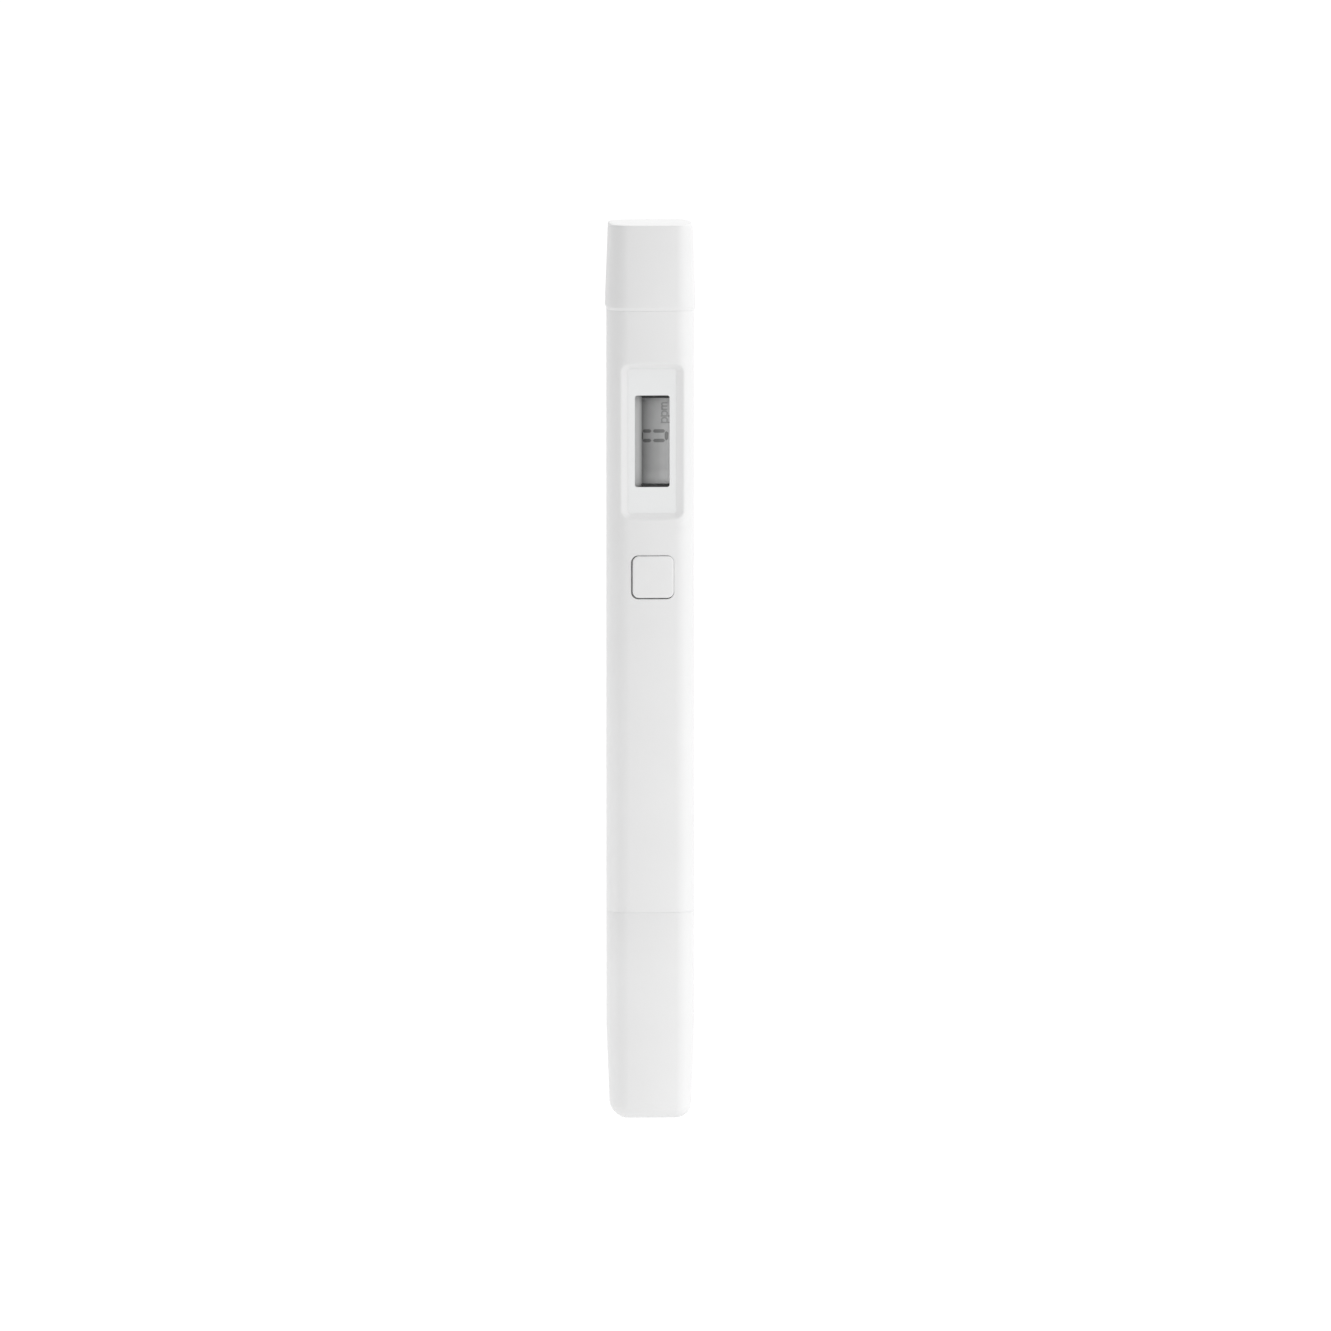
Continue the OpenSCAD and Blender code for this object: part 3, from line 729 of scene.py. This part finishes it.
def bar(x, z, length, width, along_x, depth, thick):
    """Display segment with pointed ends."""
    h, w = length / 2, width / 2
    plan = [(-h, 0), (-h + w, w), (h - w, w), (h, 0), (h - w, -w), (-h + w, -w)]
    if not along_x:
        plan = [(-b, a) for a, b in plan]
    return loft([[(x + a, -(depth + f), z + b) for a, b in plan] for f in (0, thick)])


def display_ink():
    """One lit zero and the unit, reading up the pen, as thin dark shapes on the display."""
    depth, thick = -box_mm("lcd_polarizer")[0][1] + 0.004, 0.012
    zero_z, digit_w = DISPLAY_Z + 0.78, 1.6
    x_low, x_high, line = -1.66, 2.35, 0.58
    mid = x_low + (x_high - x_low) * 0.43
    digit = []
    for z in (zero_z - digit_w / 2, zero_z + digit_w / 2):
        for a, b in ((x_low, mid), (mid, x_high)):
            digit.append(bar((a + b) / 2, z, b - a - 0.2, line, True, depth, thick))
    for x in (x_low - 0.1, x_high + 0.1):
        digit.append(bar(x, zero_z, digit_w, line, False, depth, thick))

    # the unit's letters as strokes of (along the line, up from it), turned to read up the pen
    base_x, letter_z, size, width, step = 2.6, DISPLAY_Z + 3.0, 1.2, 0.24, 1.1
    bowl = [(0.1, 0.05), (0.45, 0.02), (0.66, 0.2), (0.7, 0.45), (0.6, 0.7), (0.38, 0.8), (0.08, 0.74)]
    arch = [(0.02, 0.62), (0.18, 0.78), (0.34, 0.78), (0.46, 0.62), (0.46, 0.0)]
    strokes = []
    for start in (0.0, step):
        strokes += [(start, [(0.0, 0.935), (0.0, -0.4)]), (start, bowl)]
    for shift, points in ((0.0, [(0.0, 0.85), (0.0, 0.0)]), (0.0, arch), (0.46, arch)):
        strokes.append((2 * step, [(a + shift, up) for a, up in points]))
    unit = []
    for start, points in strokes:
        turned = [(base_x - up * size, letter_z + start + a * size) for a, up in points]
        unit.append(stroke(turned, width, depth, thick))
    for name, parts, material in (("display_digit", digit, INK), ("display_unit", unit, FAINT_INK)):
        make_object(name, merge(parts), "tester", None, material, 30)


housing_shell()
cover_shell()
cap_shell()
key_piece()
lens_pieces()
display_ink()


# ---------------------------------------------------------------- working parts

def full_turn(sides):
    return [TAU * k / sides for k in range(sides)]


def sweep(path, radius, sides=12):
    """Round tube along a list of points, carried along without twisting."""
    points = [Vector(p) for p in path]
    along = (points[1] - points[0]).normalized()
    side = along.orthogonal().normalized()
    rings = []
    for i, p in enumerate(points):
        ahead = points[min(i + 1, len(points) - 1)] - points[max(i - 1, 0)]
        turn = along.rotation_difference(ahead.normalized())
        along = ahead.normalized()
        side = (turn @ side).normalized()
        other = along.cross(side)
        rings.append([tuple(p + radius * (math.cos(a) * side + math.sin(a) * other))
                      for a in full_turn(sides)])
    return loft(rings)


def bezier(a, b, c, d, n):
    """Points along a cubic curve."""
    points = []
    for i in range(n + 1):
        u = i / n
        shares = ((1 - u) ** 3, 3 * u * (1 - u) ** 2, 3 * u * u * (1 - u), u ** 3)
        points.append([sum(share * p[k] for share, p in zip(shares, (a, b, c, d))) for k in range(3)])
    return points


def lathe(profile, sides=72):
    """Solid of revolution about the pen's axis, from (radius, z) pairs; a profile that ends where it
    starts makes a ring."""
    is_ring = profile[0] == profile[-1]
    loops = [[(max(r, 0.02) * math.cos(a), max(r, 0.02) * math.sin(a), z) for a in full_turn(sides)]
             for r, z in profile]
    verts, faces = loft(loops, not is_ring, not is_ring)
    if is_ring:
        count = len(verts) - sides
        verts, faces = verts[:count], [tuple(i % count for i in face) for face in faces]
    return verts, faces


def rounded(profile, radius, steps=4):
    """Profile with its inner corners rounded."""
    out = [profile[0]]
    for i in range(1, len(profile) - 1):
        p, a, b = (Vector(profile[k]) for k in (i, i - 1, i + 1))
        cut = min(radius, (a - p).length / 2, (b - p).length / 2)
        start, end = p + (a - p).normalized() * cut, p + (b - p).normalized() * cut
        for k in range(steps + 1):
            u = k / steps
            out.append(tuple((1 - u) ** 2 * start + 2 * u * (1 - u) * p + u * u * end))
    return out + [profile[-1]]


def pad(x, z, w, h, front, back, r=0.1):
    """Small block that faces the front, with its front edge rounded."""
    rings = [facing(w / 2 - r, h / 2 - r, ring_r, ring_front, z, 1, 3, x) for ring_r, ring_front in (
        (r, back), (r, front - r / 2), (r * 0.85, front - r * 0.15), (r * 0.5, front))]
    return loft(rings)


def cells():
    """Two button cells: can with a crimped edge, insulating ring and a narrower cap below."""
    low, high = box_mm("button_cells")
    cell_h, r = (high[2] - low[2] - CLEARANCE) / 2, high[0]
    cans, caps, rings = [], [], []
    for z in (low[2], low[2] + cell_h + CLEARANCE):
        can = [(5.3, 0.42), (5.55, 0.4), (r, 0.75), (r, cell_h - 0.06), (5.0, cell_h), (0, cell_h)]
        cap = [(0, 0), (4.75, 0), (4.98, 0.5), (4.98, 0.59)]
        ring = [(4.99, 0.58), (4.99, 0.3), (5.15, 0.24), (5.28, 0.34), (5.28, 0.58), (4.99, 0.58)]
        for group, profile in ((cans, [(0, 0.6), (5.3, 0.6)] + rounded(can, 0.35)),
                               (caps, rounded(cap, 0.2) + [(0, 0.59)]), (rings, ring)):
            group.append(lathe([(radius, z + up) for radius, up in profile]))
    make_object("cell_cans", merge(cans), "tester", "button_cells", CELL, 30)
    make_object("cell_caps", merge(caps), "tester", "button_cells", STEEL, 30)
    make_object("cell_insulators", merge(rings), "tester", "button_cells", NYLON, 30)


def spring():
    """Conical contact spring with a flat turn at its foot."""
    low, high = box_mm("battery_spring")
    wire = 0.2
    z0, z1 = low[2] + wire, high[2] - wire
    path = []
    turns, steps, flat = 3, 144, 0.22                      # flat is the share of the path that stays level
    for i in range(steps + 1):
        u = i / steps
        a, r = turns * TAU * u, 3.9 - 2 * u
        lift = max(u - flat, 0) / (1 - flat)
        path.append((r * math.cos(a), r * math.sin(a), z0 + (z1 - z0) * lift ** 1.2))
    make_object("contact_spring", sweep(path, wire, 10), "tester", "battery_spring", STEEL, 50)


def leads():
    """Insulated leads from the cells and from the probe to the back of the board."""
    start_z, pad_y = BARREL_Z1 - 4.6, -0.65
    corner = (5.8 + 0.3) * math.sqrt(0.5)                  # the contact strip's place beside the cells
    red = bezier((-corner, corner, start_z), (-4.2, 3.6, start_z - 3), (-3.2, 0.6, start_z - 2),
                 (-3, pad_y, start_z - 7), 28)
    black = bezier((0, 3, BARREL_Z1 - 1.9), (0, 3, start_z - 4), (2.6, 1, start_z - 1),
                   (3, pad_y, start_z - 7), 28)
    make_object("lead_positive", sweep(red, 0.35), "tester", "battery_wires", RED, 50)
    make_object("lead_negative", sweep(black, 0.35), "tester", "battery_wires", BLACK, 50)
    pins_high, bead_high = box_mm("electrode_pins")[1], box_mm("thermistor")[1]
    pitch, pad_z = pins_high[0] - 0.8, box_mm("circuit_board")[0][2] + 3
    for name, places, top, r, finish in (("leads_pins", (-pitch, pitch), pins_high[2], 0.35, PALE),
                                         ("leads_sensor", (-0.5, 0.5), bead_high[2], 0.25, BLACK)):
        z = top + 2 * CLEARANCE
        paths = [bezier((x, 0, z), (x, 0, z + 12), (x * 1.6, 3.2, pad_z - 14), (x * 1.5, pad_y, pad_z), 36)
                 for x in places]
        make_object(name, merge([sweep(path, r) for path in paths]), "tester", "probe_wires", finish, 50)


def small_parts():
    """Chip parts with tinned ends, and the switch with its metal lid."""
    board_low = box_mm("circuit_board")[0]
    board, z_low = -board_low[1], board_low[2] + 5         # front of the board, and its lower screw
    top = z_low + 21                                       # its upper screw
    spots = [(-3.3 + i * 2.2, top - 5.4) for i in range(4)]
    spots += [(-4 + i * 1.9, z_low + 3.9) for i in range(3)]
    spots += [(s * 3.9, top + 1 - i * 2.6) for s in (-1, 1) for i in range(2)]
    bodies = [pad(x, z, 0.86, 1.1, board + 0.63, board + 0.04, 0.05) for x, z in spots]
    ends = [pad(x, z + s * 0.7, 0.9, 0.3, board + 0.65, board + 0.02, 0.08)
            for x, z in spots for s in (-1, 1)]
    make_object("chip_parts", merge(bodies), "tester", "smd_parts", CERAMIC)
    make_object("chip_part_ends", merge(ends), "tester", "smd_parts", TIN)
    front = 3.4
    rings = [facing(centre, centre, r, front - down, KEY_Z, 6, 9) for centre, r, down in (
        (0.02, 1.0, 0.9), (0.02, 1.0, 0), (0.02, 1.25, 0),
        (1.95, 0.25, 0), (1.95, 0.28, 0.05), (1.95, 0.28, 0.36), (0.02, 1.0, 0.9))]
    legs = [pad(s * 2.55, KEY_Z + t * 1.6, 1.0, 0.7, board + 0.3, board + 0.02, 0.05)
            for s in (-1, 1) for t in (-1, 1)]
    base = pad(0, KEY_Z, 4.5, 4.5, front - 0.35, board + 0.02, 0.3)
    make_object("switch_base", base, "tester", "tact_switch", BLACK)
    make_object("switch_lid", merge([loft(rings, False, False)] + legs), "tester", "tact_switch", TIN)


def dress(node, material, soften=0.0):
    """A carried-over CAD node gets its finish and, where its edges show, a small rounding."""
    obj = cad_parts[node]
    obj.data.materials.clear()
    obj.data.materials.append(material)
    if soften:
        bevel = obj.modifiers.new("edges", "BEVEL")
        bevel.width = soften * MM
        bevel.segments = 2
        bevel.limit_method = "ANGLE"
        bevel.angle_limit = math.radians(50)


def striped(name, dark, pale, pitch):
    """Thin layers across the pen."""
    s = Shader(name)
    wave = s.maths("SINE", s.maths("MULTIPLY", s.along("X"), TAU / pitch))
    return s.principled(Base_Color=s.ramp(wave, [(0.3, dark), (0.6, pale)]),
                        Roughness=s.spread(s.noise(800, 2), 0.5, 0.7))


def board_material():
    """Green solder mask over patches of upright and crosswise tracks, with a few tinned vias."""
    s = Shader("solder_mask")
    patch = s.noise(170, 1)
    tracks = 0.0
    for axis, pitch, part in (("X", 0.62, s.spread(patch, 1.0, 0.0, 0.46, 0.48)),
                              ("Z", 0.8, s.spread(patch, 0.0, 1.0, 0.54, 0.56))):
        wave = s.maths("SINE", s.maths("MULTIPLY", s.along(axis), TAU / (pitch * MM)))
        tracks = s.maths("ADD", s.maths("MULTIPLY", s.spread(wave, 0.0, 1.0, 0.6, 0.8), part), tracks)
    mask = s.ramp(tracks, [(0.0, (0.012, 0.115, 0.05)), (1.0, (0.026, 0.19, 0.085))])
    vias = s.ramp(s.voronoi(420, s.place((1, 0.02, 1))), [(0.035, grey(1)), (0.045, grey(0))])
    return s.principled(Base_Color=s.blend(vias, mask, (0.6, 0.58, 0.52)),
                        Roughness=s.spread(s.noise(500, 2), 0.28, 0.4),
                        Normal=s.bump(tracks, 0.3, 2e-5))


def chip_material():
    """Black moulded package whose legs are bright."""
    s = Shader("chip_package")
    low, high = box_mm("controller_chip")
    from_axis = s.maths("ABSOLUTE", s.along("X"))
    from_mid = s.maths("ABSOLUTE", s.maths("SUBTRACT", s.along("Z"), (low[2] + high[2]) / 2 * MM))
    is_leg = s.spread(s.maths("MAXIMUM", from_axis, from_mid), 0.0, 1.0, 3.005 * MM, 3.02 * MM)
    grain = s.noise(6000, 3)
    dull = s.ramp(grain, [(0.3, grey(0.018)), (0.7, grey(0.03))])
    return s.principled(Base_Color=s.blend(is_leg, dull, (0.74, 0.74, 0.72)), Metallic=is_leg,
                        Roughness=s.spread(is_leg, 0.55, 0.3, 0, 1), Normal=s.bump(grain, 0.3, 1e-5))


def holder_material():
    """Pale grey plastic whose tone is partly painted shade, with more painted shade darkening it towards
    the display where its lip falls away.
    """
    s = Shader("holder_grey")
    # painted shade: the grey darkens towards the display, where the lip falls away into shade
    across = s.spread(s.along("X"), 0.0, 1.0, -2.8 * MM, -1.75 * MM)
    return s.principled(
        Base_Color=s.ramp(across, [(0.0, grey(0.57)), (0.5, grey(0.5)), (1.0, grey(0.28))]),
        Roughness=s.spread(s.noise(600, 2), 0.5, 0.61),
        Normal=s.bump(s.noise(2600, 4, 0.6), 0.25, 1.2e-5),
    )


def glass_material():
    """Clear glass that only its edges and reflections give away."""
    s = Shader("display_glass")
    clear = s.node("ShaderNodeBsdfTransparent")
    tint = s.ramp(s.noise(300, 2), [(0.3, (0.93, 0.97, 0.95)), (0.7, (0.95, 0.98, 0.96))])
    s.link(tint, clear.inputs["Color"])
    gloss = s.node("ShaderNodeBsdfGlossy", Roughness=0.05)
    return s.shade(s.mix_shaders(0.06, clear.outputs["BSDF"], gloss.outputs["BSDF"]))


CELL = metal("cell_can", (0.72, 0.72, 0.70), rough=0.24, stretch=(1, 1, 8), grain=900, bump=0.08)
STEEL = metal("nickelled_steel", (0.74, 0.72, 0.68), rough=0.2, grain=2500)
TIN = metal("tinned", (0.76, 0.76, 0.74), rough=0.34, grain=3000)
TITANIUM = metal("titanium", (0.55, 0.53, 0.50), rough=0.3, stretch=(1, 1, 0.06), grain=5000, bump=0.35)
BRIGHT = metal("satin_reflector", (0.57, 0.58, 0.58), rough=0.4, grain=4000)
NYLON = moulded("dark_nylon", (0.03, 0.05, 0.045), rough=0.4)
BLACK = moulded("black_abs", grey(0.022), rough=0.42, grain=3500)
RED = moulded("red_insulation", (0.5, 0.02, 0.015), rough=0.35, grain=900, variation=0.08)
PALE = moulded("pale_insulation", (0.66, 0.65, 0.6), rough=0.38, grain=900, variation=0.05)
CERAMIC = moulded("chip_ceramic", (0.42, 0.32, 0.2), rough=0.5, grain=9000, variation=0.15)
EPOXY = moulded("sensor_bead", (0.015, 0.02, 0.05), rough=0.25, grain=700, bump=0.4, depth=4e-5)
RUBBER = rubbery("black_rubber", grey(0.02), rough=0.5)
SILICONE = rubbery("silicone", (0.05, 0.052, 0.056), rough=0.6)
HOLDER = holder_material()
PROBE_WHITE = moulded("probe_abs", grey(0.78), rough=0.4, grain=2200, sss=0.06)

cells()
spring()
leads()
small_parts()
for name, finish, rounding in (
    ("lcd_polarizer", LCD, 0), ("display_gasket", FOAM, 0), ("lcd_holder", HOLDER, 0),
    ("lcd_glass", glass_material(), 0), ("lcd_reflector", BRIGHT, 0),
    ("zebra_strips", striped("zebra", grey(0.015), (0.5, 0.32, 0.32), 0.2 * MM), 0),
    ("circuit_board", board_material(), 0), ("controller_chip", chip_material(), 0),
    ("switch_plunger", BLACK, 0.08), ("button_boot", SILICONE, 0.12),
    ("inner_frame", IVORY, 0.1), ("frame_screws", TIN, 0.06),
    ("battery_cage", IVORY, 0.1), ("positive_contact", STEEL, 0.03), ("battery_seal", RUBBER, 0),
    ("probe_holder", PROBE_WHITE, 0.12), ("electrode_pins", TITANIUM, 0),
    ("thermistor", EPOXY, 0), ("probe_seal", RUBBER, 0),
):
    dress(name, finish, rounding)


# ---------------------------------------------------------------- stage, light and camera

STAGE_DROP = 0.042                     # the floor lies below the lowest place of the pulled-off cap


def build_stage():
    """Pale floor below the pen that rises into a backdrop behind it; clear when seen from its back."""
    width, back, radius = 1.6, 0.9, 0.35
    profile = [(-1.6, 0.0), (back - radius, 0.0)]
    for a in quarter_turn(16)[1:]:
        profile.append((back - radius + radius * math.sin(a), radius - radius * math.cos(a)))
    profile.append((back, 1.6))
    verts, faces = grid([[(-width, y, z - STAGE_DROP), (width, y, z - STAGE_DROP)] for y, z in profile])
    mesh = bpy.data.meshes.new("backdrop")
    mesh.from_pydata(verts, [], faces)
    for poly in mesh.polygons:
        poly.use_smooth = True
    obj = bpy.data.objects.new("backdrop", mesh)
    bpy.context.scene.collection.objects.link(obj)
    s = Shader("pale_backdrop")
    glow = s.node("ShaderNodeEmission")
    seen = s.node("ShaderNodeLightPath").outputs["Is Camera Ray"]
    s.link(s.spread(seen, 1.01, 1.14, 0, 1), glow.inputs["Strength"])
    plain = s.node("ShaderNodeBsdfDiffuse")
    s.link(s.ramp(s.noise(30, 3), [(0.3, grey(0.83)), (0.7, grey(0.86))]), plain.inputs["Color"])
    surface = s.mix_shaders(0.3, glow.outputs["Emission"], plain.outputs["BSDF"])
    is_back = s.node("ShaderNodeNewGeometry").outputs["Backfacing"]
    clear = s.node("ShaderNodeBsdfTransparent").outputs["BSDF"]
    mesh.materials.append(s.shade(s.mix_shaders(is_back, surface, clear)))


def aim(obj, target):
    obj.rotation_euler = (Vector(target) - obj.location).to_track_quat("-Z", "Y").to_euler()


def area(name, place, target, size, power, size_y=None):
    """Soft light from a square or, with size_y, a rectangle."""
    data = bpy.data.lights.new(name, "AREA")
    data.energy = power
    data.size = size
    if size_y:
        data.shape = "RECTANGLE"
        data.size_y = size_y
    light = bpy.data.objects.new(name, data)
    light.location = place
    light.visible_camera = False
    bpy.context.scene.collection.objects.link(light)
    aim(light, target)


def build_light():
    """Even white surroundings, a key light from the right, one from above, and two small bounces."""
    world = bpy.data.worlds.new("studio")
    world.use_nodes = True
    tree = world.node_tree
    background = tree.nodes["Background"]
    background.inputs["Color"].default_value = (1, 1, 1, 1)
    seen = tree.nodes.new("ShaderNodeLightPath").outputs["Is Camera Ray"]
    strength = tree.nodes.new("ShaderNodeMapRange")
    strength.inputs["To Min"].default_value, strength.inputs["To Max"].default_value = 0.64, 1.14
    tree.links.new(seen, strength.inputs["Value"])
    tree.links.new(strength.outputs["Result"], background.inputs["Strength"])
    bpy.context.scene.world = world
    mid = (0, 0, PEN_H * MM / 2)
    area("key_light", (0.82, -0.42, 0.45), mid, 0.7, 4.5, 0.8)
    area("top_light", (0.1, 0.4, 0.75), mid, 0.4, 2.1)
    area("floor_bounce", (-0.16, 0.0, 0.02), (0, 0, 0.03), 0.05, 0.042)
    area("front_bounce", (0.04, -0.11, -0.03), (0, 0, 0.01), 0.06, 0.016)


def build_camera():
    """Camera at the photo's angle: a little to the left of the pen and above it, from far away."""
    data = bpy.data.cameras.new("camera")
    cam = bpy.data.objects.new("camera", data)
    bpy.context.scene.collection.objects.link(cam)
    bpy.context.scene.camera = cam
    azimuth, elevation, distance = math.radians(-3.0), math.radians(5.5), 4.0
    across = 0.2227                                        # what the frame spans at the pen
    data.sensor_width = 36
    data.lens = data.sensor_width * distance / across
    data.clip_start, data.clip_end = 0.05, 20
    target = Vector((0.00255, 0, PEN_H * MM / 2 + 0.00061))
    level = math.cos(elevation)
    away = Vector((math.sin(azimuth) * level, -math.cos(azimuth) * level, math.sin(elevation)))
    cam.location = target + distance * away
    aim(cam, target)


build_stage()
build_light()
build_camera()
bpy.context.scene.view_settings.view_transform = "Standard"
bpy.context.scene.view_settings.look = "None"
